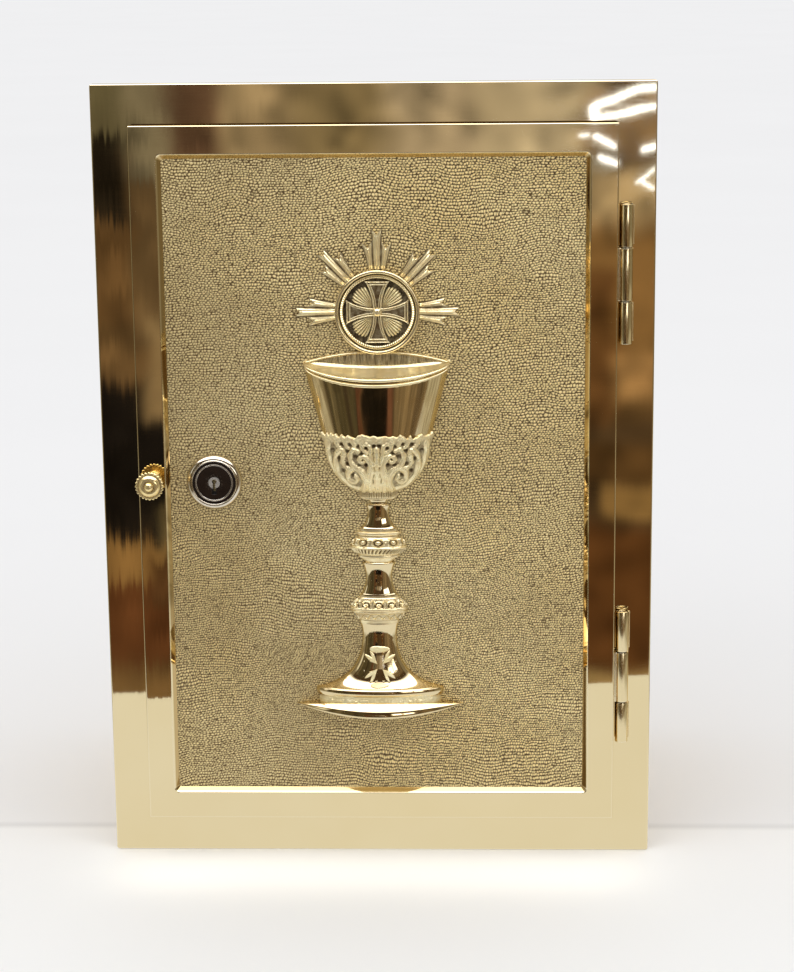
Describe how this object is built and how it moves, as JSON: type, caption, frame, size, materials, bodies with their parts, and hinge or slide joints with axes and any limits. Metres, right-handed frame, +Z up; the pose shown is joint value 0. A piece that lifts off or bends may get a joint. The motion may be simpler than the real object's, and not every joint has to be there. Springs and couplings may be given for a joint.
{
  "type": "recessed wall tabernacle",
  "caption": "Recessed wall tabernacle: brass safe box with a polished face frame and a key-locked hinged door that carries a chalice and host in relief.",
  "frame": {"origin": "centre of the four wall anchor holes, on the rear face of the back plate", "axes": "+Z up, +Y out of the back of the box into the wall, +X to the right as one faces the door"},
  "size_m": [0.28, 0.2277, 0.4],
  "materials": {
    "polished_brass": "mirror polished and lacquered",
    "hammered_brass": "fine hammered grain, matt gilt",
    "satin_brass": "brushed sheet",
    "lock_black": "gloss black",
    "lock_nickel": "polished nickel",
    "steel": "zinc plated",
    "cedar": "oiled cedar board"
  },
  "bodies": {
    "cabinet": {"face_frame": "polished_brass", "frame_studs": "steel", "frame_nuts": "steel", "box_top": "satin_brass", "box_floor": "satin_brass", "box_left_side": "satin_brass", "box_right_side": "satin_brass", "back_plate": "satin_brass", "lining_back": "cedar", "lining_floor": "cedar", "lining_top": "cedar", "lining_left": "cedar", "lining_right": "cedar", "strike_block": "steel", "strike_screws": "steel", "lower_hinge_frame_knuckles": "polished_brass", "upper_hinge_frame_knuckles": "polished_brass", "lower_hinge_braze": "polished_brass", "upper_hinge_braze": "polished_brass", "lower_hinge_pin": "steel", "upper_hinge_pin": "steel"},
    "door": {"door_frame": "polished_brass", "door_panel": "hammered_brass", "door_plate": "satin_brass", "door_plate_screws": "steel", "relief_screws": "steel", "lower_hinge_door_knuckle": "polished_brass", "upper_hinge_door_knuckle": "polished_brass", "knob_rose": "polished_brass", "door_knob": "polished_brass", "knob_screw": "steel", "lock_bezel": "lock_nickel", "lock_body": "lock_black", "lock_washer": "steel", "lock_nut": "steel", "chalice_bowl": "polished_brass", "chalice_rim_back": "polished_brass", "chalice_calyx": "polished_brass", "chalice_collar": "polished_brass", "chalice_upper_stem": "polished_brass", "chalice_upper_knop": "polished_brass", "chalice_middle_stem": "polished_brass", "chalice_lower_knop": "polished_brass", "chalice_foot": "polished_brass", "chalice_base": "polished_brass", "host_ring": "polished_brass", "host_disc": "polished_brass", "host_cross": "polished_brass", "host_fans": "polished_brass", "host_boss": "polished_brass", "host_rays": "polished_brass"},
    "lock_cylinder": {"lock_core": "lock_nickel", "lock_cam": "steel", "cam_screw": "steel"}
  },
  "joints": [
    {"name": "door_hinge", "type": "hinge", "parent": "cabinet", "child": "door", "pos_m": [0.1252, -0.20865, 0], "axis": [0, 0, 1], "range_deg": [0, 170]},
    {"name": "lock_turn", "type": "hinge", "parent": "door", "child": "lock_cylinder", "pos_m": [-0.0825, -0.2, 0], "axis": [0, 1, 0], "range_deg": [0, 90]}
  ]
}
